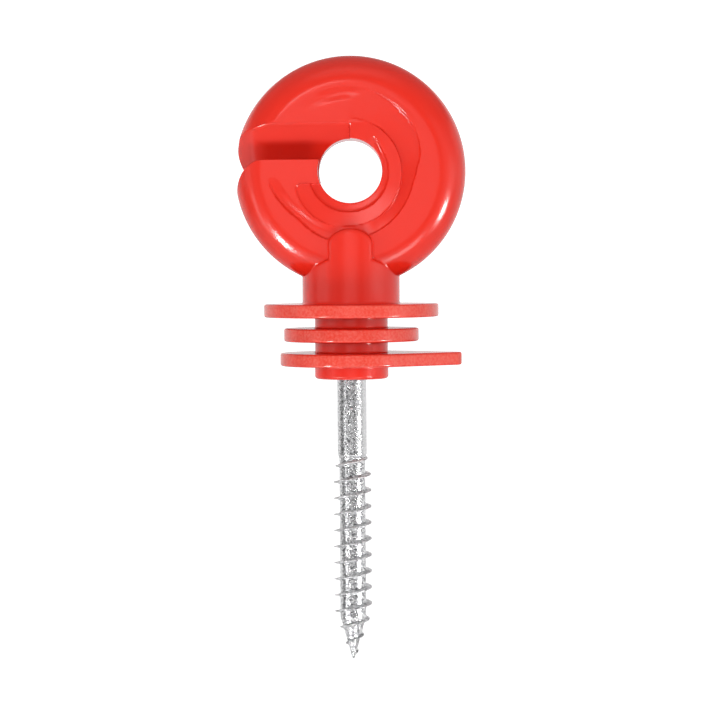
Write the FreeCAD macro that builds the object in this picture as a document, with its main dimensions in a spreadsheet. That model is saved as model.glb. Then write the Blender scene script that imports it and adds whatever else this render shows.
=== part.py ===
import FreeCAD, Part
import math
import os
import Sketcher

# Screw-in ring insulator for an electric fence: one plastic moulding (slotted ring, neck,
# three drip plates, seat collar) on a steel wood screw whose blank end is moulded into the neck.
#
# Frame, millimetres: origin on the screw axis in the seat face (the underside of the lowest
# collar, which bears on the post), +Z along the screw axis towards the ring, the ring's hole
# along Y, its slot opening towards -X and the front of the part towards -Y.

V = FreeCAD.Vector
doc = FreeCAD.newDocument("fence_insulator")
sheet = doc.addObject("Spreadsheet::Sheet", "Sizes")

SIZES = [
    # ring
    ("ringZ", 32.8, "height of the ring's centre over the seat face"),
    ("ringR", 18.25, "outer radius of the ring"),
    ("ringHalfDepth", 6.0, "half the ring's thickness along Y, at the flat annulus"),
    ("rimHalfWidth", 1.2, "half width of the straight band at the ring's outside"),
    ("creaseR", 14.0, "radius where the flat annulus turns into the outer rounding"),
    ("rimRound", 4.835, "radius of the outer rounding, in the ring's section"),
    ("eyeR", 5.05, "radius of the rope eye"),
    # hub and groove round the eye, on both faces
    ("bellDepth", 4.85, "distance from the mid plane where the bell mouth starts"),
    ("hubInnerR", 6.3, "radius where the bell mouth meets the hub face"),
    ("hubDepth", 5.65, "distance of the hub face from the mid plane"),
    ("hubOuterR", 8.5, "outer radius of the hub face"),
    ("grooveInnerR", 8.65, "inner radius of the groove floor"),
    ("grooveDepth", 5.1, "distance of the groove floor from the mid plane"),
    ("crestR", 10.4, "radius where the groove comes up to the flat annulus"),
    ("grooveRound", 3.6, "radius of the groove's concave side"),
    ("grooveAhead", 158.0, "degrees the hub and groove run on from straight below the eye"),
    ("grooveBack", 71.0, "degrees they run the other way"),
    # slot
    ("slotHalfGap", 2.17, "half the slot's gap, square to its walls"),
    ("slotTilt", 37.8, "degrees between the slot and the horizontal, rising to the front"),
    ("mouthRound", 2.3, "rounding of the slot's two lips at the outside"),
    # neck, plates and collar
    ("seatR", 5.85, "radius of the seat collar"),
    ("seatRound", 0.5, "rounding of the seat collar's lower edge"),
    ("dripZ", 2.1, "underside of the lowest plate"),
    ("dripTop", 4.15, "top of the lowest plate"),
    ("dripR", 11.3, "radius of the lowest plate"),
    ("dripTipX", 15.4, "centre of the rounded tip of the lowest plate"),
    ("dripTipR", 2.1, "radius of that tip"),
    ("spoolR", 5.8, "radius of the spool between the plates"),
    ("midZ", 5.95, "underside of the middle plate"),
    ("midTop", 8.06, "top of the middle plate"),
    ("midR", 10.7, "radius of the middle plate"),
    ("topZ", 9.8, "underside of the top plate"),
    ("topTop", 11.9, "top of the top plate"),
    ("topR", 13.85, "radius of the top plate"),
    ("plateRound", 0.3, "rounding of the plates' edges"),
    ("neckR", 7.72, "radius of the neck and of the rib's front"),
    ("neckTop", 18.2, "top of the round neck"),
    ("neckRound", 0.6, "chamfer at the neck's top edge"),
    ("ribHalfWidth", 3.45, "half width of the rib that carries the neck on to the hub"),
    ("ribShoulder", 22.0, "height of the rib's top corners"),
    ("ribTop", 23.7, "height of the rib's top at its middle"),
    ("ribHeadR", 4.35, "radius of the rib's rounded head"),
    # screw
    ("shankR", 2.335, "radius of the plain shank"),
    ("blankTop", 22.0, "top of the moulded-in blank end"),
    ("blankChamfer", 0.5, "chamfer on the blank end"),
    ("keyZ", 13.0, "bottom of the pinched key"),
    ("keyLength", 5.0, "length of the pinched key along the screw"),
    ("keyHalfWidth", 3.2, "half width of the pinched key"),
    ("keyHalfThick", 1.6, "half thickness of the pinched key"),
    ("neckGrooveZ", 19.9, "middle of the retaining groove in the blank end"),
    ("neckGrooveHalf", 0.6, "half height of that groove"),
    ("neckGrooveR", 1.9, "radius of the screw in that groove"),
    ("shankEnd", 12.0, "length of the plain shank below the seat"),
    ("coreStart", 12.6, "depth where the threaded core has its own radius"),
    ("coreR", 2.075, "radius of the threaded core"),
    ("tipStart", 38.0, "depth where the core starts to taper"),
    ("tipEnd", 44.7, "depth of the point"),
    ("tipR", 0.12, "radius of the flat on the point"),
    ("threadR", 3.03, "radius over the thread"),
    ("threadPitch", 2.575, "pitch of the thread"),
    ("threadStart", 12.6, "depth of the thread's first section"),
    ("threadLength", 31.2, "length of the thread along the axis"),
    ("threadRootR", 0.35, "inner radius of the thread's section, inside the core"),
    ("threadRootHalf", 0.95, "half width of the thread's section there"),
    ("threadCrestR", 3.10, "outer radius of the thread's section before trimming"),
    ("threadCrestHalf", 0.075, "half width of the section there"),
    ("runoutEnd", 15.4, "depth where the thread has its full height"),
    ("taperStart", 37.2, "depth where the thread's crest starts to taper"),
]

for row, (alias, value, note) in enumerate(SIZES, start=1):
    sheet.set("A%d" % row, alias)
    sheet.set("B%d" % row, str(value))
    sheet.set("C%d" % row, note)
    sheet.setAlias("B%d" % row, alias)
doc.recompute()


class Size:
    """A length with both its number and the sheet expression that gives it."""

    def __init__(self, value, text):
        self.value, self.text = float(value), text

    def _pair(self, other):
        return other if isinstance(other, Size) else Size(other, repr(float(other)))

    def __add__(self, other):
        o = self._pair(other)
        return Size(self.value + o.value, "(%s + %s)" % (self.text, o.text))

    def __sub__(self, other):
        o = self._pair(other)
        return Size(self.value - o.value, "(%s - %s)" % (self.text, o.text))

    def __mul__(self, other):
        o = self._pair(other)
        return Size(self.value * o.value, "(%s * %s)" % (self.text, o.text))

    def __truediv__(self, other):
        o = self._pair(other)
        return Size(self.value / o.value, "(%s / %s)" % (self.text, o.text))

    def __neg__(self):
        return Size(-self.value, "(0 - %s)" % self.text)


def root(q):
    return Size(math.sqrt(q.value), "sqrt(%s)" % q.text)


S = {alias: Size(value, "Sizes.%s" % alias) for alias, value, _ in SIZES}
ZERO = Size(0.0, "0")


def new_body(name, label):
    body = doc.addObject("PartDesign::Body", name)
    body.Label = label
    return body


def plane(body, role):
    return [f for f in body.Origin.OriginFeatures if f.Role == role][0]


def new_sketch(body, name, role, shift=None, turn=None):
    """A sketch on one of the body's own planes. shift is {axis: Size} in the plane's own
    directions, turn is an angle about the sketch's own X."""
    sk = body.newObject("Sketcher::SketchObject", name)
    sk.AttachmentSupport = [(plane(body, role), "")]
    sk.MapMode = "FlatFace"
    if turn is not None:
        sk.AttachmentOffset = FreeCAD.Placement(V(0, 0, 0), FreeCAD.Rotation(V(1, 0, 0), turn.value))
        sk.setExpression(".AttachmentOffset.Rotation.Angle", turn.text)
    for axis, size in (shift or {}).items():
        sk.setExpression(".AttachmentOffset.Base.%s" % axis, size.text)
    return sk


def outline(sk, points, arcs=None, start=0):
    """Draw a closed outline through the points and fix every corner from the sheet.

    arcs maps a side's number to (radius, bulge): bulge +1 puts the arc's centre on the
    left of the way from its first corner to its second, -1 on the right."""
    arcs = arcs or {}
    n = len(points)
    first = len(sk.Geometry)
    ends = []
    for i in range(n):
        a = V(points[i][0].value, points[i][1].value, 0)
        b = V(points[(i + 1) % n][0].value, points[(i + 1) % n][1].value, 0)
        if i in arcs:
            radius, bulge = arcs[i]
            half = (b - a).Length / 2
            left = V(-(b - a).y, (b - a).x, 0).normalize()
            centre = (a + b) * 0.5 + left * (bulge * math.sqrt(max(radius.value**2 - half**2, 0)))
            pa = math.atan2(a.y - centre.y, a.x - centre.x)
            pb = math.atan2(b.y - centre.y, b.x - centre.x)
            circle = Part.Circle(centre, V(0, 0, 1), radius.value)
            if bulge > 0:  # counter-clockwise from a to b
                sk.addGeometry(Part.ArcOfCircle(circle, pa, pb if pb > pa else pb + 2 * math.pi))
                ends.append((first + i, 1, 2))
            else:
                sk.addGeometry(Part.ArcOfCircle(circle, pb, pa if pa > pb else pa + 2 * math.pi))
                ends.append((first + i, 2, 1))
        else:
            sk.addGeometry(Part.LineSegment(a, b))
            ends.append((first + i, 1, 2))
    for i in range(n):
        g, _, out = ends[i]
        h, into, _ = ends[(i + 1) % n]
        sk.addConstraint(Sketcher.Constraint("Coincident", g, out, h, into))
    for i, (x, y) in enumerate(points):
        g, into, _ = ends[i]
        for size, kind, axis, tag in ((x, "DistanceX", -2, "x"), (y, "DistanceY", -1, "y")):
            if size is ZERO:
                sk.addConstraint(Sketcher.Constraint("PointOnObject", g, into, axis))
                continue
            k = sk.addConstraint(Sketcher.Constraint(kind, -1, 1, g, into, size.value))
            sk.renameConstraint(k, "%s%d" % (tag, start + i))
            sk.setExpression("Constraints.%s%d" % (tag, start + i), size.text)
    for i, (radius, _) in arcs.items():
        k = sk.addConstraint(Sketcher.Constraint("Radius", ends[i][0], radius.value))
        sk.renameConstraint(k, "r%d" % (start + i))
        sk.setExpression("Constraints.r%d" % (start + i), radius.text)


def settle(body, feature, more=None, less=None):
    """Recompute and stop if the feature failed or didn't change the body as it should."""
    doc.recompute()
    if feature.State and ("Invalid" in feature.State or "Error" in feature.State):
        raise RuntimeError("%s is %s" % (feature.Name, feature.State))
    volume = feature.Shape.Volume
    if more is not None and volume <= more + 1e-6:
        raise RuntimeError("%s added nothing" % feature.Name)
    if less is not None and volume >= less - 1e-6:
        raise RuntimeError("%s cut nothing" % feature.Name)
    return volume


# ---------------------------------------------------------------- the plastic moulding
moulding = new_body("InsulatorBody", "insulator_body")

# The ring, turned about its own axis along Y: flat annulus on both faces, rounded outside.
# The section is drawn straight below the eye, across is Y and up is Z.
sk = new_sketch(moulding, "RingSection", "YZ_Plane")
hole_z = S["ringZ"] - S["eyeR"]
outline(
    sk,
    [
        (-S["ringHalfDepth"], hole_z),
        (-S["ringHalfDepth"], S["ringZ"] - S["creaseR"]),
        (-S["rimHalfWidth"], S["ringZ"] - S["ringR"]),
        (S["rimHalfWidth"], S["ringZ"] - S["ringR"]),
        (S["ringHalfDepth"], S["ringZ"] - S["creaseR"]),
        (S["ringHalfDepth"], hole_z),
    ],
    {1: (S["rimRound"], 1), 3: (S["rimRound"], 1)},
)


def add_ring_axis(s):
    """The eye's axis, a construction line along Y through the ring's centre."""
    g = s.addGeometry(Part.LineSegment(V(-10, 32.8, 0), V(10, 32.8, 0)), True)
    s.addConstraint(Sketcher.Constraint("Horizontal", g))
    k = s.addConstraint(Sketcher.Constraint("DistanceY", -1, 1, g, 1, S["ringZ"].value))
    s.renameConstraint(k, "axisHeight")
    s.setExpression("Constraints.axisHeight", S["ringZ"].text)
    k = s.addConstraint(Sketcher.Constraint("DistanceX", -1, 1, g, 1, -10.0))
    k = s.addConstraint(Sketcher.Constraint("DistanceX", g, 1, g, 2, 20.0))


add_ring_axis(sk)
ring = moulding.newObject("PartDesign::Revolution", "Ring")
ring.Profile = sk
ring.ReferenceAxis = (sk, ["Axis0"])
ring.Angle = 360
volume = settle(moulding, ring, more=0)

def add_groove(name, front):
    """Bell mouth, hub face and groove round the eye on one face. The rear one is the front
    one turned half round the X direction, as the slot is."""
    global volume
    side = 1.0 if front else -1.0  # +1: towards -Y

    def y(q):
        return -q if front else q

    def z(q):
        return S["ringZ"] - q if front else S["ringZ"] + q

    s = new_sketch(moulding, name + "Section", "YZ_Plane")
    clear = Size(8.0, "8.0")
    inside = S["eyeR"] - 0.6
    outline(
        s,
        [
            (y(S["bellDepth"]), z(inside)),
            (y(S["bellDepth"]), z(S["eyeR"])),
            (y(S["hubDepth"]), z(S["hubInnerR"])),
            (y(S["hubDepth"]), z(S["hubOuterR"])),
            (y(S["grooveDepth"]), z(S["grooveInnerR"])),
            (y(S["ringHalfDepth"]), z(S["crestR"])),
            (y(clear), z(S["crestR"])),
            (y(clear), z(inside)),
        ],
        {4: (S["grooveRound"], -1)},
    )
    add_ring_axis(s)
    cut = moulding.newObject("PartDesign::Groove", name)
    cut.Profile = s
    cut.ReferenceAxis = (s, ["Axis0"])
    cut.Type = "TwoAngles"
    cut.setExpression("Angle", S["grooveAhead" if front else "grooveAhead"].text)
    cut.setExpression("Angle2", S["grooveBack"].text)
    cut.Reversed = True
    volume = settle(moulding, cut, less=volume)
    return cut


front_groove = add_groove("FrontGroove", True)
rear_groove = add_groove("RearGroove", False)

# Seat collar, spool and neck: one turned profile round the screw axis. The neck's top runs
# inside the ring, where only its shoulders show in front of the ring's faces.
sk = new_sketch(moulding, "SpoolProfile", "XZ_Plane")
outline(
    sk,
    [
        (ZERO, ZERO),
        (S["seatR"] - S["seatRound"], ZERO),
        (S["seatR"], S["seatRound"]),
        (S["seatR"], S["dripZ"]),
        (S["spoolR"], S["dripZ"]),
        (S["spoolR"], S["neckTop"] - S["neckRound"] * 2),
        (ZERO, S["neckTop"] - S["neckRound"] * 2),
    ],
    {1: (S["seatRound"], 1)},
)
spool = moulding.newObject("PartDesign::Revolution", "Spool")
spool.Profile = sk
spool.ReferenceAxis = (sk, ["V_Axis"])
spool.Angle = 360
volume = settle(moulding, spool, more=volume)


def add_disc(name, z0, z1, radius, rounding):
    """A round plate with rounded edges, turned about the screw axis."""
    global volume
    s = new_sketch(moulding, name + "Profile", "XZ_Plane")
    outline(
        s,
        [
            (ZERO, z0),
            (radius - rounding, z0),
            (radius, z0 + rounding),
            (radius, z1 - rounding),
            (radius - rounding, z1),
            (ZERO, z1),
        ],
        {1: (rounding, 1), 3: (rounding, 1)},
    )
    disc = moulding.newObject("PartDesign::Revolution", name)
    disc.Profile = s
    disc.ReferenceAxis = (s, ["V_Axis"])
    disc.Angle = 360
    volume = settle(moulding, disc, more=volume)


add_disc("DripPlate", S["dripZ"], S["dripTop"], S["dripR"], S["plateRound"])
add_disc("MiddlePlate", S["midZ"], S["midTop"], S["midR"], S["plateRound"])
add_disc("TopPlate", S["topZ"], S["topTop"], S["topR"], S["plateRound"])
add_disc("Neck", S["topTop"] - 0.5, S["neckTop"], S["neckR"], S["neckRound"])

# The lowest plate runs out to a rounded drip tip on +X: two tangents from the plate's edge
# to a small circle.
sine = (S["dripR"] - S["dripTipR"]) / S["dripTipX"]
cosine = root(Size(1.0, "1") - sine * sine)
sk = new_sketch(moulding, "DripTipOutline", "XY_Plane", shift={"z": S["dripZ"]})
x1, y1 = S["dripR"] * sine, S["dripR"] * cosine
x2, y2 = S["dripTipX"] + S["dripTipR"] * sine, S["dripTipR"] * cosine
outline(
    sk,
    [(x1, -y1), (x2, -y2), (x2, y2), (x1, y1), (ZERO, ZERO)],
    {1: (S["dripTipR"], 1)},
)
tip = moulding.newObject("PartDesign::Pad", "DripTip")
tip.Profile = sk
tip.Length = 2.05
tip.setExpression("Length", (S["dripTop"] - S["dripZ"]).text)
volume = settle(moulding, tip, more=volume)

# The rib: the neck's own round front carried up past the ring's faces to the hub, between two
# flat sides and under a rounded head, front and rear. It is made as a tool body and fused.
rib_body = new_body("RibBody", "rib_tool")
sk = new_sketch(rib_body, "RibOutline", "XZ_Plane")
outline(
    sk,
    [
        (-S["ribHalfWidth"], S["topTop"]),
        (S["ribHalfWidth"], S["topTop"]),
        (S["ribHalfWidth"], S["ribShoulder"]),
        (ZERO, S["ribTop"]),
        (-S["ribHalfWidth"], S["ribShoulder"]),
    ],
    {2: (S["ribHeadR"], 1), 3: (S["ribHeadR"], 1)},
)
rib = rib_body.newObject("PartDesign::Pad", "Rib")
rib.Profile = sk
rib.SideType = "Symmetric"
rib.Length = 15.44
rib.setExpression("Length", (S["neckR"] * 2 + 1.0).text)
rv = settle(rib_body, rib, more=0)
sk = new_sketch(rib_body, "RibFront", "YZ_Plane")
far = S["neckR"] + 3.0
outline(
    sk,
    [
        (S["neckR"], S["topTop"] - 1.0),
        (far, S["topTop"] - 1.0),
        (far, S["ribTop"] + 1.0),
        (S["neckR"], S["ribTop"] + 1.0),
    ],
)
round_front = rib_body.newObject("PartDesign::Groove", "RibRoundFront")
round_front.Profile = sk
round_front.ReferenceAxis = (sk, ["V_Axis"])
round_front.Angle = 360
rv = settle(rib_body, round_front, less=rv)

with_rib = moulding.newObject("PartDesign::Boolean", "WithRib")
with_rib.setObjects([rib_body])
with_rib.Type = "Fuse"
volume = settle(moulding, with_rib, more=volume)

# The slot: a flat gap from the outside of the ring to the eye's centre line, tilted about X so
# that it rises to the front, with both lips rounded at the mouth. Drawn square to its walls.
sk = new_sketch(moulding, "SlotSection", "XZ_Plane", shift={"y": S["ringZ"]}, turn=-S["slotTilt"])
gap, lip = S["slotHalfGap"], S["mouthRound"]
bend = S["ringR"] - lip
outer = S["ringR"] + 3.0
outline(
    sk,
    [
        (ZERO, gap),
        (-bend, gap),
        (-S["ringR"], gap + lip),
        (-outer, gap + lip),
        (-outer, -(gap + lip)),
        (-S["ringR"], -(gap + lip)),
        (-bend, -gap),
        (ZERO, -gap),
    ],
    {1: (lip, -1), 5: (lip, -1)},
)
slot = moulding.newObject("PartDesign::Pocket", "Slot")
slot.Profile = sk
slot.SideType = "Symmetric"
slot.Length = 44.0
volume = settle(moulding, slot, less=volume)

# The cavity that the plastic forms round the screw's blank end: the same profile and the same
# key as the screw's, so the two pieces meet face to face.
def blank_profile(low):
    """Half profile of the blank end, from the given level up."""
    g0 = S["neckGrooveZ"] - S["neckGrooveHalf"]
    g1 = S["neckGrooveZ"] + S["neckGrooveHalf"]
    slope = 0.25
    return [
        (ZERO, low),
        (S["shankR"], low),
        (S["shankR"], g0),
        (S["neckGrooveR"], g0 + slope),
        (S["neckGrooveR"], g1 - slope),
        (S["shankR"], g1),
        (S["shankR"], S["blankTop"] - S["blankChamfer"]),
        (S["shankR"] - S["blankChamfer"], S["blankTop"]),
        (ZERO, S["blankTop"]),
    ]


def key_outline(s):
    outline(
        s,
        [
            (-S["keyHalfWidth"], -S["keyHalfThick"]),
            (S["keyHalfWidth"], -S["keyHalfThick"]),
            (S["keyHalfWidth"], S["keyHalfThick"]),
            (-S["keyHalfWidth"], S["keyHalfThick"]),
        ],
    )


sk = new_sketch(moulding, "CavityProfile", "XZ_Plane")
outline(sk, blank_profile(Size(-1.0, "(0 - 1.0)")))
cavity = moulding.newObject("PartDesign::Groove", "ShankCavity")
cavity.Profile = sk
cavity.ReferenceAxis = (sk, ["V_Axis"])
cavity.Angle = 360
volume = settle(moulding, cavity, less=volume)

sk = new_sketch(moulding, "KeyCavityOutline", "XY_Plane", shift={"z": S["keyZ"]})
key_outline(sk)
key_cut = moulding.newObject("PartDesign::Pocket", "KeyCavity")
key_cut.Profile = sk
key_cut.Reversed = True
key_cut.Length = 5.0
key_cut.setExpression("Length", S["keyLength"].text)
volume = settle(moulding, key_cut, less=volume)
moulding.Tip = key_cut

# ---------------------------------------------------------------- the steel wood screw
screw = new_body("WoodScrew", "wood_screw")

# Blank end, plain shank, threaded core and point in one turned profile.
sk = new_sketch(screw, "ScrewProfile", "XZ_Plane")
upper = blank_profile(-S["shankEnd"])
outline(
    sk,
    upper[1:]
    + [
        (ZERO, -S["tipEnd"]),
        (S["tipR"], -S["tipEnd"]),
        (S["coreR"], -S["tipStart"]),
        (S["coreR"], -S["coreStart"]),
    ],
)
core = screw.newObject("PartDesign::Revolution", "ShankAndCore")
core.Profile = sk
core.ReferenceAxis = (sk, ["V_Axis"])
core.Angle = 360
sv = settle(screw, core, more=0)

# The pinched key keeps the screw from turning in the plastic.
sk = new_sketch(screw, "KeyOutline", "XY_Plane", shift={"z": S["keyZ"]})
key_outline(sk)
key = screw.newObject("PartDesign::Pad", "PinchedKey")
key.Profile = sk
key.Length = 5.0
key.setExpression("Length", S["keyLength"].text)
sv = settle(screw, key, more=sv)

# The right-hand wood thread: a thin tapered tooth swept down the core.
sk = new_sketch(screw, "ThreadTooth", "XZ_Plane")
mid = -S["threadStart"]
outline(
    sk,
    [
        (S["threadRootR"], mid - S["threadRootHalf"]),
        (S["threadCrestR"], mid - S["threadCrestHalf"]),
        (S["threadCrestR"], mid + S["threadCrestHalf"]),
        (S["threadRootR"], mid + S["threadRootHalf"]),
    ],
)
thread = screw.newObject("PartDesign::AdditiveHelix", "Thread")
thread.Profile = sk
thread.ReferenceAxis = (sk, ["V_Axis"])
thread.Mode = "pitch-height-angle"
thread.Pitch = 2.575
thread.Height = 31.2
thread.setExpression("Pitch", S["threadPitch"].text)
thread.setExpression("Height", S["threadLength"].text)
thread.Angle = 0
thread.LeftHanded = False
thread.Reversed = True
sv = settle(screw, thread, more=sv)

# Everything outside the thread's envelope is turned away: a run-out at the shank, a narrow
# land on the crest and a tapered end down to the point.
sk = new_sketch(screw, "ThreadEnvelope", "XZ_Plane")
wide = S["threadR"] + 2.0
outline(
    sk,
    [
        (S["shankR"] + 0.02, -S["shankEnd"]),
        (S["threadR"], -S["runoutEnd"]),
        (S["threadR"], -S["taperStart"]),
        (S["tipR"] + 0.25, -S["tipEnd"]),
        (S["tipR"] + 0.25, -(S["tipEnd"] + 3.0)),
        (wide, -(S["tipEnd"] + 3.0)),
        (wide, -S["shankEnd"]),
    ],
)
trim = screw.newObject("PartDesign::Groove", "ThreadTrim")
trim.Profile = sk
trim.ReferenceAxis = (sk, ["V_Axis"])
trim.Angle = 360
sv = settle(screw, trim, less=sv)

# ---------------------------------------------------------------- check and write
doc.recompute()
for obj in doc.Objects:
    if "Invalid" in obj.State or "Error" in obj.State:
        raise RuntimeError("%s is %s" % (obj.Label, obj.State))

os.makedirs("parts", exist_ok=True)
for body in (moulding, screw):
    shape = body.Shape
    if shape.isNull() or not shape.isValid():
        raise RuntimeError("%s has a bad shape" % body.Label)
    if len(shape.Solids) != 1:
        raise RuntimeError("%s has %d solids" % (body.Label, len(shape.Solids)))
    box = shape.BoundBox
    print(
        "%-16s %9.1f mm3  X %.2f..%.2f  Y %.2f..%.2f  Z %.2f..%.2f"
        % (body.Label, shape.Volume, box.XMin, box.XMax, box.YMin, box.YMax, box.ZMin, box.ZMax)
    )
    shape.exportStep("parts/%s.step" % body.Label)
shared = moulding.Shape.common(screw.Shape).Volume
print("shared volume %.4f mm3" % shared)
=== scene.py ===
import math

import bpy
import numpy as np
from mathutils import Matrix, Vector


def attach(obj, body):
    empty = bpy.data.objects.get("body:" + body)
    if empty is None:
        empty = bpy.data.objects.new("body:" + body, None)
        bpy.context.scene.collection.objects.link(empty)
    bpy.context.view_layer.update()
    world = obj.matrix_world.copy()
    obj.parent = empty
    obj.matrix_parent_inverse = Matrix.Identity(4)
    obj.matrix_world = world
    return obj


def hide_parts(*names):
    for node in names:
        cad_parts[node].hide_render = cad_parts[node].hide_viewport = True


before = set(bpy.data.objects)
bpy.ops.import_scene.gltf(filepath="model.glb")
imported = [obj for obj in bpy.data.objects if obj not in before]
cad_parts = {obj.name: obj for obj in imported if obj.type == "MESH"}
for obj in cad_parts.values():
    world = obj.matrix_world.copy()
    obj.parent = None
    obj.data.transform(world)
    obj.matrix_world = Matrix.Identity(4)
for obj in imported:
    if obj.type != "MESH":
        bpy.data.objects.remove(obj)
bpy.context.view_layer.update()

MM = 0.001
bpy.context.scene.view_settings.view_transform = "Standard"
bpy.context.scene.view_settings.look = "None"

# ------------------------------------------------------------------ sizes, in millimetres
RING_Z = 32.8
RING_R = 18.25
HALF = 6.0  # the ring's flat faces
EYE_R = 5.05
RIM_C = (13.415, 1.2)  # centre of the outer rounding in the ring's section
RIM_RHO = 4.815
SLOT_C = 2.745  # half the slot's gap, measured upright
SLOT_M = math.tan(math.radians(37.8))
SLOT_ANG = math.radians(37.8)
LIP = 2.3
NECK_R = 7.72
NECK_TOP = 18.2
RIB_W = 3.45
SEAT_R = 5.85
SPOOL_R = 5.8


# ------------------------------------------------------------------ distance functions
def smin(a, b, k):
    h = np.clip(0.5 + 0.5 * (b - a) / k, 0.0, 1.0)
    return b + (a - b) * h - k * h * (1.0 - h)


def smax(a, b, k):
    return -smin(-a, -b, k)


def sstep(x, lo, hi):
    t = np.clip((x - lo) / (hi - lo), 0.0, 1.0)  # falls instead when hi is below lo
    return t * t * (3.0 - 2.0 * t)


def disc(r, z, radius, z0, z1, rho):
    """Distance to a round plate with rounded edges."""
    qx = r - (radius - rho)
    qz = np.abs(z - 0.5 * (z0 + z1)) - (0.5 * (z1 - z0) - rho)
    out = np.sqrt(np.maximum(qx, 0.0) ** 2 + np.maximum(qz, 0.0) ** 2)
    return out + np.minimum(np.maximum(qx, qz), 0.0) - rho


def ang_table(theta, knots, values):
    """Smooth periodic table over degrees."""
    k = np.array(knots, float) % 360.0
    v = np.array(values, float)[np.argsort(k)]
    k = np.sort(k)
    k = np.concatenate([k - 360.0, k, k + 360.0])
    v = np.concatenate([v, v, v])
    fine = np.linspace(-360.0, 720.0, 4321)
    w = np.interp(fine, k, v)
    kern = np.hanning(33)
    kern /= kern.sum()
    w = np.convolve(w, kern, mode="same")
    return np.interp(theta, fine, w)


def front_relief(x, w, d):
    """Field of what is taken off one face of the ring: hub face, bell mouth and the spiral
    groove round the hub. Negative where material is taken away."""
    x1, w1 = x + 0.22, w + 0.22
    r = np.sqrt(x1 * x1 + w1 * w1)
    th = np.degrees(np.arctan2(w1, x1)) % 360.0
    rh = ang_table(th, [0, 40, 65, 200, 230, 270, 300, 330], [8.35, 8.35, 8.35, 8.45, 8.6, 8.5, 8.45, 8.35])
    rc = ang_table(
        th,
        [350, 4, 12, 24, 40, 60, 80, 100, 188, 196, 205, 222, 236, 250, 265, 290, 317, 333],
        [10.35, 10.9, 11.6, 12.2, 12.6, 13.0, 13.4, 13.7, 12.7, 12.3, 11.7, 10.9, 11.0, 11.2, 11.0, 10.5, 10.3, 10.3],
    )
    amp = ang_table(
        th,
        [340, 0, 15, 28, 40, 52, 64, 78, 92, 120, 183, 191, 198, 206, 218, 232, 248, 262, 275, 292, 302, 312, 325],
        [0.90, 0.92, 0.90, 0.82, 0.70, 0.54, 0.34, 0.12, 0.0, 0.0, 0.0, 0.24, 0.36, 0.38, 0.37, 0.37, 0.38, 0.38, 0.34, 0.34, 0.50, 0.70, 0.84],
    )
    # on the right the groove is deepest at the hub and comes up evenly; on the left it
    # steps down part of the way out; a crisp little wall ends it everywhere
    e0 = ang_table(th, [0, 45, 90, 190, 210, 240, 262, 285, 310, 335], [1.0, 1.0, 1.0, 0.1, 0.1, 0.12, 0.7, 1.0, 1.0, 1.0])
    step = ang_table(th, [0, 90, 190, 204, 220, 240, 260, 290], [0.3, 0.3, 0.72, 0.66, 0.50, 0.38, 0.34, 0.3])
    rise = ang_table(th, [0, 90, 190, 215, 240, 262, 285, 335], [0.62, 0.62, 0.1, 0.12, 0.2, 0.4, 0.5, 0.6])
    span = np.maximum(rc - rh, 0.5)
    u = np.clip((r - rh) / span, 0.0, 1.0)
    down = e0 + (1.0 - e0) * sstep(u, step - 0.26, step + 0.26)
    dep = amp * down * (1.0 - rise * u) * (1.0 - sstep((1.0 - u) * span, 0.30, 0.0))
    floor = HALF - dep + 0.15 * np.clip(1.0 - dep / 0.06, 0.0, 1.0)
    groove = (floor - d) * 0.9
    groove = smax(groove, rh - r, 0.12)
    # hub face: a little below the flat face, dished a few degrees towards the eye,
    # and lost in the flat face over the top of the eye
    hub_d = ang_table(th, [0, 50, 60, 68, 78, 90, 104, 120, 160, 180], [5.66, 5.66, 5.66, 5.68, 5.72, 5.80, 5.98, 6.3, 6.3, 5.66])
    hub_d = hub_d + 0.13 * (np.clip(r, 5.0, 9.0) - 7.6)
    # bell mouth round the eye: a short steep wall, then a floor that leans in to the eye
    rb = ang_table(th, [0, 35, 48, 62, 74, 105, 175, 185], [6.3, 6.32, 6.5, 6.95, 7.3, 7.3, 4.9, 6.3])
    bed = ang_table(th, [0, 30, 45, 58, 70, 90, 170, 185], [4.85, 4.85, 5.0, 5.3, 5.62, 5.95, 5.95, 4.85])
    bell = smax((r - rb) * 0.85 - (d - hub_d + 0.1) * 0.45, bed + 0.15 * (r - 5.05) - d, 0.12)
    # the nearly level wall where the hub ends, on the open side, its outer corner rounded
    wall = np.where(x < 0.0, w + 1.97, -9.0)
    ease = 0.14 + 0.9 * sstep(th, 62.0, 84.0) * (th < 185.0)
    edge = smax(r - rh - 0.25, wall, 1.5)
    hub = smax(hub_d - d, edge, ease)
    bell = smax(bell, wall, 0.12)
    relief = np.minimum(hub, bell)
    return smin(relief, groove, 0.14)


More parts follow.
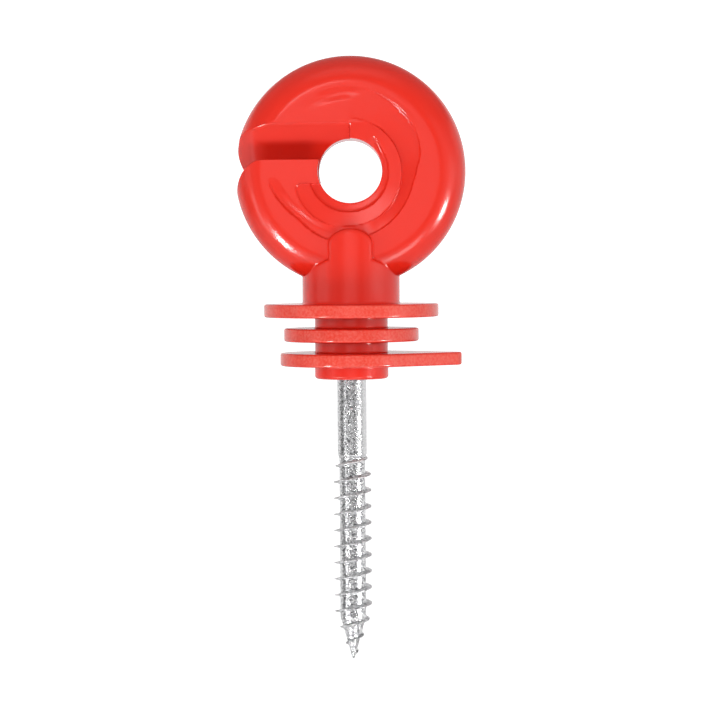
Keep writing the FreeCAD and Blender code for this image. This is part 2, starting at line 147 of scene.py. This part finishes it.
def moulding(x, y, z):
    """Distance-like field of the whole plastic moulding, negative inside."""
    d = -y
    w = z - RING_Z
    r = np.sqrt(x * x + w * w)
    ad = np.abs(y)
    # ring: outer rounding cut by the two flat faces
    qx, qd = r - RIM_C[0], ad - RIM_C[1]
    rim = np.sqrt(np.maximum(qx, 0.0) ** 2 + np.maximum(qd, 0.0) ** 2) + np.minimum(np.maximum(qx, qd), 0.0) - RIM_RHO
    # shallow sink marks in the flat faces: a broad one over the top, two fine ones beside it
    phi = np.degrees(np.arctan2(w, x)) % 360.0
    h1 = ang_table(phi, [0, 74, 84, 92, 106, 116, 126, 359], [0.0, 0.0, 0.08, 0.17, 0.17, 0.05, 0.0, 0.0])
    h2 = ang_table(phi, [0, 30, 40, 50, 60, 71, 359], [0.0, 0.0, 0.020, 0.030, 0.024, 0.0, 0.0])
    sink = h1 * sstep(r, 10.7, 12.2) * sstep(r, 13.3, 12.2)
    sink = sink + h2 * (sstep(r, 11.4, 11.9) * sstep(r, 12.2, 11.9) + sstep(r, 12.7, 13.2) * sstep(r, 13.5, 13.2))
    ring = smax(rim, ad - HALF + sink, 0.04)
    ring = smax(ring, -front_relief(x, w, d), 0.10)
    ring = smax(ring, -front_relief(x, -w, -d), 0.10)
    # neck, its shoulders and the rib up to the hub
    rz = np.sqrt(x * x + y * y)
    neck = disc(rz, z + 0.42 * np.clip(np.abs(x) - 3.45, 0.0, 3.0) * sstep(z, 14.0, 18.0), NECK_R, 10.3, NECK_TOP + 0.75, 0.4)
    head_z = 23.7 - (4.35 - np.sqrt(np.maximum(4.35**2 - np.clip(x, -3.6, 3.6) ** 2, 0.0)))
    rib = smax(rz - NECK_R, np.abs(x) - RIB_W, 0.5)
    rib = smax(rib, (z - head_z) * 0.85, 0.7)
    rib = np.maximum(rib, 12.0 - z)
    upper = smin(ring, smin(neck, rib, 0.02), 0.14)
    # slot, square to its walls: n is the distance from its middle plane
    n = w * math.cos(SLOT_ANG) - d * math.sin(SLOT_ANG)
    h = SLOT_C * math.cos(SLOT_ANG)
    # the lips flare over a longer way along the slot than they open across it
    xc = -(RING_R - 1.8 * LIP)
    lipd = LIP - np.sqrt(((x - xc) / 1.8) ** 2 + (np.abs(n) - h - LIP) ** 2)
    wall = np.where(x < xc, np.where(np.abs(n) < h + LIP, lipd, 5.0), np.abs(n) - h)
    slot = smax(wall, x, 0.15)
    upper = smax(upper, -slot, 0.22)
    upper = smax(upper, EYE_R - r, 0.12)
    # plates, spool and seat collar
    spool = disc(rz, z, SPOOL_R, 2.4, 13.0, 0.2)
    seat = disc(rz, z, SEAT_R, 0.0, 3.0, 0.5)
    top = disc(rz, z, 13.85, 9.8, 11.9, 0.3)
    mid = disc(rz, z, 10.7, 5.95, 8.06, 0.3)
    # lowest plate with its drip tip: the hull of two circles
    ax, bx, ra, rb = 0.0, 15.4, 11.3, 2.1
    ay = np.abs(y)
    s = (ra - rb) / bx
    c = math.sqrt(1 - s * s)
    proj = x * c - ay * s  # along the tangent
    tear = x * s + ay * c - ra
    inside_a = proj < 0
    past_b = proj > bx * c
    da = np.sqrt(x * x + ay * ay) - ra
    db = np.sqrt((x - bx) ** 2 + ay * ay) - rb
    tear = np.where(inside_a, da, np.where(past_b, db, tear))
    rho = 0.3
    qx = tear + rho
    qz = np.abs(z - 3.125) - (1.025 - rho)
    drip = np.sqrt(np.maximum(qx, 0.0) ** 2 + np.maximum(qz, 0.0) ** 2) + np.minimum(np.maximum(qx, qz), 0.0) - rho
    low = smin(smin(spool, seat, 0.25), drip, 0.25)
    low = smin(low, mid, 0.3)
    low = smin(low, top, 0.3)
    body = smin(upper, low, 0.4)
    # cavity round the shank
    bore = np.maximum(rz - 2.335, z - 22.0)
    return np.maximum(body, -bore)


# ------------------------------------------------------------------ meshing
def surface_net(field, lo, hi, step):
    """One quad mesh of the field's zero level, found block by block."""
    lo, hi = np.array(lo, float), np.array(hi, float)
    n = np.ceil((hi - lo) / step).astype(int) + 1
    B = 16
    blocks = [(i, j, k) for i in range(0, n[0] - 1, B) for j in range(0, n[1] - 1, B) for k in range(0, n[2] - 1, B)]
    c = np.array(blocks, float)
    cen = lo + (c + B / 2) * step
    f = field(cen[:, 0], cen[:, 1], cen[:, 2])
    reach = step * (B / 2 + 1) * math.sqrt(3) * 1.6 + 0.8
    keep = [b for b, v in zip(blocks, f) if abs(v) < reach]
    phi = np.full(tuple(n + 1), 9.0, np.float32)
    for i, j, k in keep:
        i1, j1, k1 = min(i + B + 1, n[0] + 1), min(j + B + 1, n[1] + 1), min(k + B + 1, n[2] + 1)
        X, Y, Z = np.meshgrid(
            lo[0] + np.arange(i, i1) * step, lo[1] + np.arange(j, j1) * step, lo[2] + np.arange(k, k1) * step, indexing="ij"
        )
        phi[i:i1, j:j1, k:k1] = field(X, Y, Z)
    inside = phi < 0
    shape = tuple(np.array(phi.shape) - 1)
    cnt = np.zeros(shape, np.uint8)
    for a in (0, 1):
        for b in (0, 1):
            for e in (0, 1):
                cnt += inside[a : a + shape[0], b : b + shape[1], e : e + shape[2]]
    cells = np.argwhere((cnt > 0) & (cnt < 8))
    index = np.full(shape, -1, np.int64)
    index[tuple(cells.T)] = np.arange(len(cells))
    acc = np.zeros((len(cells), 3))
    num = np.zeros(len(cells))
    corners = [(a, b, e) for a in (0, 1) for b in (0, 1) for e in (0, 1)]
    for p in corners:
        for axis in range(3):
            if p[axis]:
                continue
            q = list(p)
            q[axis] = 1
            vp = phi[tuple((cells + p).T)].astype(float)
            vq = phi[tuple((cells + q).T)].astype(float)
            hit = (vp < 0) != (vq < 0)
            t = np.where(hit, vp / np.where(hit, vp - vq, 1.0), 0.0)
            pos = np.array(p, float)[None, :] + 0 * acc
            pos[:, axis] += t
            acc += pos * hit[:, None]
            num += hit
    verts = lo + (cells + acc / num[:, None]) * step
    quads = []
    for axis in range(3):
        b, e = [k for k in range(3) if k != axis]
        sl0 = [slice(1, None)] * 3
        sl0[axis] = slice(0, -1)
        sl1 = [slice(1, None)] * 3
        sl1[axis] = slice(1, None)
        f0, f1 = inside[tuple(sl0)], inside[tuple(sl1)]
        e_idx = np.argwhere(f0 != f1)
        if not len(e_idx):
            continue
        start_in = f0[tuple(e_idx.T)]
        base = e_idx.copy()
        base[:, b] += 1
        base[:, e] += 1  # grid point index of the edge start
        c00 = base.copy(); c00[:, b] -= 1; c00[:, e] -= 1
        c10 = base.copy(); c10[:, e] -= 1
        c11 = base.copy()
        c01 = base.copy(); c01[:, b] -= 1
        ok = np.ones(len(base), bool)
        for cc in (c00, c10, c11, c01):
            ok &= np.all(cc < np.array(shape), axis=1)
        q = np.stack([index[tuple(cc[ok].T)] for cc in (c00, c10, c11, c01)], axis=1)
        flip = start_in[ok]
        if axis == 1:
            flip = ~flip
        q = np.where(flip[:, None], q, q[:, ::-1])
        quads.append(q)
    quads = np.concatenate(quads)
    quads = quads[np.all(quads >= 0, axis=1)]
    return verts, quads


def gradient(field, v, e=0.02):
    g = np.empty_like(v)
    for a in range(3):
        p, m = v.copy(), v.copy()
        p[:, a] += e
        m[:, a] -= e
        g[:, a] = (field(p[:, 0], p[:, 1], p[:, 2]) - field(m[:, 0], m[:, 1], m[:, 2])) / (2 * e)
    return g


def settle_on(field, v, rounds=3):
    """Move the points on to the field's zero level."""
    for _ in range(rounds):
        f = field(v[:, 0], v[:, 1], v[:, 2])
        g = gradient(field, v)
        move = -(f / np.maximum((g * g).sum(1), 0.05))[:, None] * g
        length = np.linalg.norm(move, axis=1, keepdims=True)
        v = v + move * np.minimum(1.0, 0.12 / np.maximum(length, 1e-9))
    return v


def mesh_object(name, verts, faces, smooth=True):
    me = bpy.data.meshes.new(name)
    me.from_pydata((verts * MM).tolist(), [], faces.tolist() if hasattr(faces, "tolist") else faces)
    me.validate()
    me.update()
    ob = bpy.data.objects.new(name, me)
    bpy.context.scene.collection.objects.link(ob)
    if smooth:
        me.shade_smooth()
    return ob


STEP = 0.24
verts, quads = surface_net(moulding, (-18.9, -14.3, -0.5), (18.9, 14.3, 51.6), STEP)
verts = settle_on(moulding, verts)
body = mesh_object("insulator_moulding", verts, quads)
g = gradient(moulding, verts)
g /= np.maximum(np.linalg.norm(g, axis=1, keepdims=True), 1e-9)
body.data.normals_split_custom_set_from_vertices(g.tolist())
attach(body, "root")
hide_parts("insulator_body")


# ------------------------------------------------------------------ the screw
def screw_radius(th, z):
    """Radius of the screw's surface at an angle and a height, thread included."""
    depth = -z
    core = np.interp(depth, [-1.0, 12.0, 12.6, 38.0, 44.55, 44.7], [2.335, 2.335, 2.075, 2.075, 0.22, 0.0])
    env = np.interp(depth, [0.0, 12.0, 15.4, 37.2, 44.7], [2.34, 2.34, 3.03, 3.03, 0.37])
    P = 2.575
    # right-hand: the crest climbs as the angle grows
    ph = (z + 12.6) / P - th / (2 * math.pi)
    off = (ph - np.round(ph)) * P
    half_c, half_r = 0.08, 0.34
    t = np.clip((half_r - np.abs(off)) / (half_r - half_c), 0.0, 1.0)
    t = t * t * (1.6 - 0.6 * t)
    crest = np.minimum(env, 3.03)
    live = (depth > 12.0) & (depth < 44.2)
    return np.where(live & (crest > core), core + (crest - core) * t, core)


NT = 120
zs = np.concatenate([np.linspace(21.5, -11.8, 40), np.arange(-11.9, -44.5, -0.055), np.array([-44.58, -44.66])])
ths = np.linspace(0, 2 * math.pi, NT, endpoint=False)
TH, ZZ = np.meshgrid(ths, zs)
RR = screw_radius(TH, ZZ)
pts = np.stack([RR * np.cos(TH), RR * np.sin(TH), ZZ], axis=-1).reshape(-1, 3)
rows = len(zs)
ids = np.arange(rows * NT).reshape(rows, NT)
a, b = ids[:-1], ids[1:]
quads = np.stack([a, b, np.roll(b, -1, axis=1), np.roll(a, -1, axis=1)], axis=-1).reshape(-1, 4)
top_c, tip_c = rows * NT, rows * NT + 1
pts = np.vstack([pts, [[0, 0, 21.5], [0, 0, -44.7]]])
faces = quads.tolist()
for j in range(NT):
    k = (j + 1) % NT
    faces.append([int(ids[0, j]), int(ids[0, k]), top_c])
    faces.append([int(ids[-1, k]), int(ids[-1, j]), tip_c])
screw = mesh_object("wood_screw_visual", pts, faces)
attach(screw, "root")
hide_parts("wood_screw")


# ------------------------------------------------------------------ materials
def nodes_of(mat):
    mat.use_nodes = True
    nt = mat.node_tree
    nt.nodes.clear()
    out = nt.nodes.new("ShaderNodeOutputMaterial")
    bsdf = nt.nodes.new("ShaderNodeBsdfPrincipled")
    nt.links.new(bsdf.outputs[0], out.inputs[0])
    return nt, bsdf


def red_plastic():
    mat = bpy.data.materials.new("red_moulded_plastic")
    nt, b = nodes_of(mat)
    L, N = nt.links.new, nt.nodes.new
    b.inputs["Roughness"].default_value = 0.19
    b.inputs["IOR"].default_value = 1.47
    geo = N("ShaderNodeTexCoord")
    n1 = N("ShaderNodeTexNoise")
    n1.inputs["Scale"].default_value = 90.0
    n1.inputs["Detail"].default_value = 3.0
    ramp = N("ShaderNodeMixRGB")
    ramp.inputs[1].default_value = (0.692, 0.0188, 0.0078, 1.0)
    ramp.inputs[2].default_value = (0.712, 0.0218, 0.0098, 1.0)
    L(geo.outputs["Object"], n1.inputs["Vector"])
    L(n1.outputs["Fac"], ramp.inputs[0])
    # painted highlight: the plates' rims get a light fine speckle, standing in for light sparkling on them
    place = N("ShaderNodeSeparateXYZ")
    L(geo.outputs["Object"], place.inputs[0])
    low_ = N("ShaderNodeMapRange")
    low_.inputs["From Min"].default_value = 0.0121
    low_.inputs["From Max"].default_value = 0.0119
    L(place.outputs["Z"], low_.inputs["Value"])
    face = N("ShaderNodeSeparateXYZ")
    L(geo.outputs["Normal"], face.inputs[0])
    tilt = N("ShaderNodeMath")
    tilt.operation = "ABSOLUTE"
    L(face.outputs["Z"], tilt.inputs[0])
    side = N("ShaderNodeMapRange")
    side.inputs["From Min"].default_value = 0.8
    side.inputs["From Max"].default_value = 0.3
    L(tilt.outputs[0], side.inputs["Value"])
    sq = [N("ShaderNodeMath") for _ in range(3)]
    sq[0].operation = sq[1].operation = "MULTIPLY"
    L(place.outputs["X"], sq[0].inputs[0])
    L(place.outputs["X"], sq[0].inputs[1])
    L(place.outputs["Y"], sq[1].inputs[0])
    L(place.outputs["Y"], sq[1].inputs[1])
    L(sq[0].outputs[0], sq[2].inputs[0])
    L(sq[1].outputs[0], sq[2].inputs[1])
    wide = N("ShaderNodeMapRange")
    wide.inputs["From Min"].default_value = 0.0080**2
    wide.inputs["From Max"].default_value = 0.0090**2
    L(sq[2].outputs[0], wide.inputs["Value"])
    m1 = N("ShaderNodeMath")
    m2 = N("ShaderNodeMath")
    m1.operation = m2.operation = "MULTIPLY"
    L(low_.outputs[0], m1.inputs[0])
    L(side.outputs[0], m1.inputs[1])
    L(m1.outputs[0], m2.inputs[0])
    L(wide.outputs[0], m2.inputs[1])
    n3 = N("ShaderNodeTexNoise")
    n3.inputs["Scale"].default_value = 2600.0
    n3.inputs["Detail"].default_value = 2.0
    L(geo.outputs["Object"], n3.inputs["Vector"])
    sparkle_speckle = N("ShaderNodeMapRange")
    sparkle_speckle.inputs["From Min"].default_value = 0.35
    sparkle_speckle.inputs["From Max"].default_value = 0.72
    sparkle_speckle.inputs["To Min"].default_value = 0.30
    sparkle_speckle.inputs["To Max"].default_value = 0.92
    L(n3.outputs["Fac"], sparkle_speckle.inputs["Value"])
    m3 = N("ShaderNodeMath")
    m3.operation = "MULTIPLY"
    L(m2.outputs[0], m3.inputs[0])
    L(sparkle_speckle.outputs[0], m3.inputs[1])
    # painted highlight: a lighter red is mixed into the plates' rims as a speckle, in place of sparkle of light
    rim_painted_sparkle = N("ShaderNodeMixRGB")
    rim_painted_sparkle.inputs[2].default_value = (0.74, 0.105, 0.072, 1)
    L(m3.outputs[0], rim_painted_sparkle.inputs[0])
    # painted light: the slot's upper wall is painted a lighter red towards its mouth and its open left end, standing
    # in for where light reaches into the slot
    lean = N("ShaderNodeVectorMath")
    lean.operation = "DOT_PRODUCT"
    lean.inputs[1].default_value = (0.0, -0.613, -0.790)
    L(geo.outputs["Normal"], lean.inputs[0])
    faces = N("ShaderNodeMapRange")
    faces.inputs["From Min"].default_value = 0.970
    faces.inputs["From Max"].default_value = 0.990
    L(lean.outputs["Value"], faces.inputs["Value"])
    mouth = N("ShaderNodeMapRange")
    mouth.inputs["From Min"].default_value = -0.0018
    mouth.inputs["From Max"].default_value = -0.0030
    L(place.outputs["Y"], mouth.inputs["Value"])
    end = N("ShaderNodeMapRange")
    end.inputs["From Min"].default_value = -0.0130
    end.inputs["From Max"].default_value = -0.0156
    L(place.outputs["X"], end.inputs["Value"])
    both = N("ShaderNodeMath")
    both.operation = "MAXIMUM"
    L(mouth.outputs[0], both.inputs[0])
    L(end.outputs[0], both.inputs[1])
    slot_painted_light_mask = N("ShaderNodeMath")
    slot_painted_light_mask.operation = "MULTIPLY"
    L(faces.outputs[0], slot_painted_light_mask.inputs[0])
    L(both.outputs[0], slot_painted_light_mask.inputs[1])
    # painted light: this lighter red stands in for light falling on the slot's wall near its mouth and open end
    slot_painted_light_mix = N("ShaderNodeMixRGB")
    slot_painted_light_mix.inputs[2].default_value = (0.78, 0.048, 0.034, 1)
    L(slot_painted_light_mask.outputs[0], slot_painted_light_mix.inputs[0])
    L(ramp.outputs[0], slot_painted_light_mix.inputs[1])
    L(slot_painted_light_mix.outputs[0], rim_painted_sparkle.inputs[1])
    L(rim_painted_sparkle.outputs[0], b.inputs["Base Color"])
    n2 = N("ShaderNodeTexNoise")
    n2.inputs["Scale"].default_value = 1400.0
    n2.inputs["Detail"].default_value = 2.0
    bump = N("ShaderNodeBump")
    bump.inputs["Strength"].default_value = 0.05
    bump.inputs["Distance"].default_value = 0.00005
    L(geo.outputs["Object"], n2.inputs["Vector"])
    L(n2.outputs["Fac"], bump.inputs["Height"])
    L(bump.outputs[0], b.inputs["Normal"])
    return mat


def zinc_steel():
    mat = bpy.data.materials.new("zinc_plated_steel")
    nt, b = nodes_of(mat)
    L, N = nt.links.new, nt.nodes.new
    geo = N("ShaderNodeTexCoord")
    # spangle: small crystals with their own tone and tilt
    vor = N("ShaderNodeTexVoronoi")
    vor.inputs["Scale"].default_value = 5200.0
    L(geo.outputs["Object"], vor.inputs["Vector"])
    sep_ = N("ShaderNodeSeparateColor")
    L(vor.outputs["Color"], sep_.inputs[0])
    fine = N("ShaderNodeTexNoise")
    fine.inputs["Scale"].default_value = 8200.0
    fine.inputs["Detail"].default_value = 3.0
    fine.inputs["Roughness"].default_value = 0.65
    L(geo.outputs["Object"], fine.inputs["Vector"])
    blend = N("ShaderNodeMath")
    blend.operation = "MULTIPLY_ADD"
    blend.inputs[1].default_value = 0.45
    L(sep_.outputs[0], blend.inputs[0])
    half = N("ShaderNodeMath")
    half.operation = "MULTIPLY"
    half.inputs[1].default_value = 0.6
    L(fine.outputs["Fac"], half.inputs[0])
    L(half.outputs[0], blend.inputs[2])
    ramp = N("ShaderNodeValToRGB")
    el = ramp.color_ramp.elements
    el[0].position, el[0].color = 0.30, (0.13, 0.13, 0.135, 1)
    el[1].position, el[1].color = 0.63, (0.86, 0.86, 0.87, 1)
    mid = el.new(0.45)
    mid.color = (0.47, 0.47, 0.48, 1)
    L(blend.outputs[0], ramp.inputs[0])
    place = N("ShaderNodeSeparateXYZ")
    L(geo.outputs["Object"], place.inputs[0])
    across = N("ShaderNodeMath")
    across.operation = "ABSOLUTE"
    shift = N("ShaderNodeMath")
    shift.inputs[1].default_value = 0.0007
    L(place.outputs["X"], shift.inputs[0])
    L(shift.outputs[0], across.inputs[0])
    calm = N("ShaderNodeMapRange")
    calm.inputs["From Min"].default_value = 0.0012
    calm.inputs["From Max"].default_value = 0.0018
    calm.inputs["To Min"].default_value = 1.0
    calm.inputs["To Max"].default_value = 0.2
    L(across.outputs[0], calm.inputs["Value"])
    below = N("ShaderNodeMapRange")
    below.inputs["From Min"].default_value = -0.0118
    below.inputs["From Max"].default_value = -0.0126
    L(place.outputs["Z"], below.inputs["Value"])
    rough_part = N("ShaderNodeMath")
    rough_part.operation = "MAXIMUM"
    L(calm.outputs[0], rough_part.inputs[0])
    L(below.outputs[0], rough_part.inputs[1])
    tone = N("ShaderNodeMixRGB")
    tone.inputs[1].default_value = (0.66, 0.66, 0.67, 1)
    L(rough_part.outputs[0], tone.inputs[0])
    L(ramp.outputs[0], tone.inputs[2])
    L(tone.outputs[0], b.inputs["Base Color"])
    # the thread's flanks are duller than the rolled surfaces
    sq = [N("ShaderNodeMath") for _ in range(3)]
    sq[0].operation = sq[1].operation = "MULTIPLY"
    L(place.outputs["X"], sq[0].inputs[0])
    L(place.outputs["X"], sq[0].inputs[1])
    L(place.outputs["Y"], sq[1].inputs[0])
    L(place.outputs["Y"], sq[1].inputs[1])
    L(sq[0].outputs[0], sq[2].inputs[0])
    L(sq[1].outputs[0], sq[2].inputs[1])
    out_ = N("ShaderNodeMapRange")
    out_.inputs["From Min"].default_value = 0.00210**2
    out_.inputs["From Max"].default_value = 0.00225**2
    L(sq[2].outputs[0], out_.inputs["Value"])
    deep = N("ShaderNodeMapRange")
    deep.inputs["From Min"].default_value = -0.0122
    deep.inputs["From Max"].default_value = -0.0126
    L(place.outputs["Z"], deep.inputs["Value"])
    flank = N("ShaderNodeMath")
    flank.operation = "MULTIPLY"
    L(out_.outputs[0], flank.inputs[0])
    L(deep.outputs[0], flank.inputs[1])
    dull = N("ShaderNodeMapRange")
    dull.inputs["To Min"].default_value = 1.0
    dull.inputs["To Max"].default_value = 0.4
    L(flank.outputs[0], dull.inputs["Value"])
    L(dull.outputs[0], b.inputs["Metallic"])
    rr = N("ShaderNodeMapRange")
    rr.inputs["To Min"].default_value = 0.12
    rr.inputs["To Max"].default_value = 0.30
    L(sep_.outputs[1], rr.inputs["Value"])
    L(rr.outputs[0], b.inputs["Roughness"])
    bump = N("ShaderNodeBump")
    bump.inputs["Distance"].default_value = 0.00004
    soft_ = N("ShaderNodeMath")
    soft_.operation = "MULTIPLY"
    soft_.inputs[1].default_value = 0.45
    L(rough_part.outputs[0], soft_.inputs[0])
    L(soft_.outputs[0], bump.inputs["Strength"])
    L(blend.outputs[0], bump.inputs["Height"])
    L(bump.outputs[0], b.inputs["Normal"])
    return mat


body.data.materials.append(red_plastic())
screw.data.materials.append(zinc_steel())

# ------------------------------------------------------------------ stage, light, camera
FLOOR_Z = -0.30
prof = [(-3.0, FLOOR_Z), (-1.5, FLOOR_Z), (0.6, FLOOR_Z)]
for i in range(1, 13):
    t = i / 12 * math.pi / 2
    prof.append((0.6 + 0.9 * math.sin(t), FLOOR_Z + 0.9 * (1 - math.cos(t))))
prof += [(1.5, 1.4), (1.5, 2.6)]
fv, ff = [], []
for i, (yy, zz) in enumerate(prof):
    fv += [(-3.0, yy, zz), (3.0, yy, zz)]
    if i:
        ff.append((2 * i - 2, 2 * i - 1, 2 * i + 1, 2 * i))
floor_me = bpy.data.meshes.new("studio_floor")
floor_me.from_pydata(fv, [], ff)
floor_me.shade_smooth()
floor = bpy.data.objects.new("studio_floor", floor_me)
bpy.context.scene.collection.objects.link(floor)
fmat = bpy.data.materials.new("pale_floor")
nt, fb = nodes_of(fmat)
fb.inputs["Base Color"].default_value = (0.86, 0.86, 0.86, 1)
fb.inputs["Roughness"].default_value = 0.9
fb.inputs["Emission Color"].default_value = (1, 1, 1, 1)
fb.inputs["Emission Strength"].default_value = 0.90
floor.data.materials.append(fmat)
floor.visible_diffuse = False
floor.visible_glossy = False

world = bpy.data.worlds.new("studio")
bpy.context.scene.world = world
world.use_nodes = True
wt = world.node_tree
wt.nodes.clear()
W = wt.nodes.new
wl = wt.links.new
tc = W("ShaderNodeTexCoord")
sep = W("ShaderNodeSeparateXYZ")
wl(tc.outputs["Generated"], sep.inputs[0])


def ramp_node(src, stops):
    n = W("ShaderNodeMapRange")
    n.inputs["From Min"].default_value = -1.0
    n.inputs["From Max"].default_value = 1.0
    wl(src, n.inputs["Value"])
    r_ = W("ShaderNodeValToRGB")
    el = r_.color_ramp.elements
    while len(el) < len(stops):
        el.new(0.5)
    for e_, (pos, val) in zip(el, stops):
        e_.position = (pos + 1) / 2
        e_.color = (val, val, val, 1)
    wl(n.outputs[0], r_.inputs[0])
    return r_


az = W("ShaderNodeMath")
az.operation = "ARCTAN2"
ny = W("ShaderNodeMath")
ny.operation = "MULTIPLY"
ny.inputs[1].default_value = -1.0
wl(sep.outputs["Y"], ny.inputs[0])
wl(sep.outputs["X"], az.inputs[0])
wl(ny.outputs[0], az.inputs[1])
turn = W("ShaderNodeMath")
turn.operation = "MULTIPLY"
turn.inputs[1].default_value = 1 / math.pi
wl(az.outputs[0], turn.inputs[0])
round_ = ramp_node(
    turn.outputs[0],
    [(d_ / 180, v_) for d_, v_ in ((-180, 1.0), (-125, 1.0), (-108, 0.85), (-92, 0.26), (-74, 0.30), (-58, 0.36), (-43, 0.52), (-36, 0.54), (-29, 0.40), (-17, 0.36), (-3, 0.60), (6, 0.58), (15, 0.33), (27, 0.36), (35, 0.76), (48, 0.80), (60, 0.62), (76, 0.72), (86, 0.56), (97, 0.95), (120, 1.0), (180, 1.0))],
)
up = ramp_node(sep.outputs["Z"], [(-1.0, 0.95), (-0.45, 0.75), (-0.3, 0.0), (0.35, 0.0), (0.5, 0.34), (1.0, 0.50)])
flat_ = ramp_node(sep.outputs["Z"], [(-1.0, 0.0), (-0.45, 0.0), (-0.3, 1.0), (0.35, 1.0), (0.5, 0.0), (1.0, 0.0)])
mul = W("ShaderNodeVectorMath")
mul.operation = "MULTIPLY"
wl(round_.outputs[0], mul.inputs[0])
wl(flat_.outputs[0], mul.inputs[1])
add = W("ShaderNodeVectorMath")
wl(up.outputs[0], add.inputs[0])
wl(mul.outputs[0], add.inputs[1])
soft = W("ShaderNodeBackground")
soft.inputs[1].default_value = 1.0
wl(add.outputs[0], soft.inputs[0])
dim = W("ShaderNodeBackground")
dim.inputs[1].default_value = 0.30
wl(add.outputs[0], dim.inputs[0])
plain = W("ShaderNodeBackground")
plain.inputs[0].default_value = (1, 1, 1, 1)
lp = W("ShaderNodeLightPath")
mix = W("ShaderNodeMixShader")
wo = W("ShaderNodeOutputWorld")
wl(lp.outputs["Is Camera Ray"], mix.inputs[0])
part = W("ShaderNodeMixShader")
wl(lp.outputs["Is Diffuse Ray"], part.inputs[0])
wl(soft.outputs[0], part.inputs[1])
wl(dim.outputs[0], part.inputs[2])
wl(part.outputs[0], mix.inputs[1])
wl(plain.outputs[0], mix.inputs[2])
wl(mix.outputs[0], wo.inputs[0])


def softbox(name, direction, dist, size, radiance, target=(0, 0, 0.012), up=(0, 0, 1), shine=True, fill=True):
    """Rectangular soft light seen from the object along a direction; up sets its long side."""
    v = Vector(direction).normalized()
    ly = Vector(up) - v * Vector(up).dot(v)
    ly.normalize()
    lx = ly.cross(v)
    li = bpy.data.lights.new(name, "AREA")
    li.shape = "RECTANGLE"
    li.size, li.size_y = size
    li.energy = radiance * size[0] * size[1] * math.pi
    o = bpy.data.objects.new(name, li)
    m = Matrix((lx, ly, v)).transposed().to_4x4()
    m.translation = Vector(target) + v * dist
    o.matrix_world = m
    o.visible_camera = False
    o.visible_glossy = shine
    o.visible_diffuse = fill
    bpy.context.scene.collection.objects.link(o)
    return o


LEFT, RIGHT = (-0.535, -0.66, -0.512), (0.81, -0.47, -0.33)
softbox("key_left_shine", LEFT, 0.45, (0.046, 0.100), 104.0, target=(-0.008, 0, 0.022), up=(-0.67, 0, -0.74), fill=False)
softbox("key_left_fill", LEFT, 0.45, (0.085, 0.165), 6.5, target=(-0.008, 0, 0.022), up=(-0.67, 0, -0.74), shine=False)
softbox("key_right_shine", RIGHT, 0.50, (0.075, 0.10), 72.0, target=(0.012, 0, 0.030), up=(0.93, 0, -0.36), fill=False)
softbox("key_right_fill", RIGHT, 0.50, (0.075, 0.10), 6.0, target=(0.012, 0, 0.030), up=(0.93, 0, -0.36), shine=False)
softbox("low_right", (0.40, -0.73, -0.56), 0.60, (0.22, 0.13), 5.2, up=(0.5, 0, -0.86), fill=False)
softbox("left_box", (-0.81, -0.50, -0.28), 0.60, (0.22, 0.13), 2.6, up=(0.96, 0, 0.2), fill=False)
softbox("front_upper", (-0.13, -0.96, 0.235), 0.80, (0.15, 0.13), 4.0, target=(0, 0, 0.025), fill=False)
softbox("level_fill", (0.0, -1.0, 0.02), 0.90, (0.60, 0.22), 5.8, target=(0, 0, 0.02), shine=False)
softbox("level_fill_left", (-0.95, -0.31, 0.02), 0.90, (0.60, 0.22), 7.6, target=(0, 0, 0.02), shine=False)
softbox("level_fill_right", (0.95, -0.31, 0.02), 0.90, (0.60, 0.22), 8.2, target=(0, 0, 0.02), shine=False)
softbox("back_fill", (0.0, 0.97, 0.25), 0.80, (0.60, 0.40), 4.0, target=(0, 0, 0.02), shine=False)
softbox("top_fill", (0.0, -0.50, 0.87), 0.80, (0.60, 0.40), 3.3, target=(0, 0, 0.02), shine=False)
softbox("low_fill", (0.03, -0.75, -0.66), 0.50, (0.40, 0.24), 4.6, target=(0, 0, 0.02), shine=False)
softbox("slot_fill", (-0.78, -0.24, -0.58), 0.60, (0.24, 0.20), 2.2, target=(-0.010, 0, 0.03), shine=False)

PX = 1 / 6.3 * MM  # one pixel of the frame at the object, in metres
DIST = 2600 * PX
cam_data = bpy.data.cameras.new("camera")
cam = bpy.data.objects.new("camera", cam_data)
bpy.context.scene.collection.objects.link(cam)
bpy.context.scene.camera = cam
cam_data.sensor_width = 36.0
cam_data.lens = 36.0 * DIST / (720 * PX)
# image centre (360, 360) in the object's plane
cx = (360 - 351.6) * PX
cz = (378.5 - 360) * PX
eye_z = (378.5 - 265) * PX
cam.location = (cx + 0.004, -DIST, eye_z)
cam.rotation_mode = "QUATERNION"
aim = Vector((cx, 0, cz)) - Vector(cam.location)
q = aim.to_track_quat("-Z", "Y")
roll = math.radians(-0.40)
cam.rotation_quaternion = q @ Matrix.Rotation(roll, 3, "Z").to_quaternion()
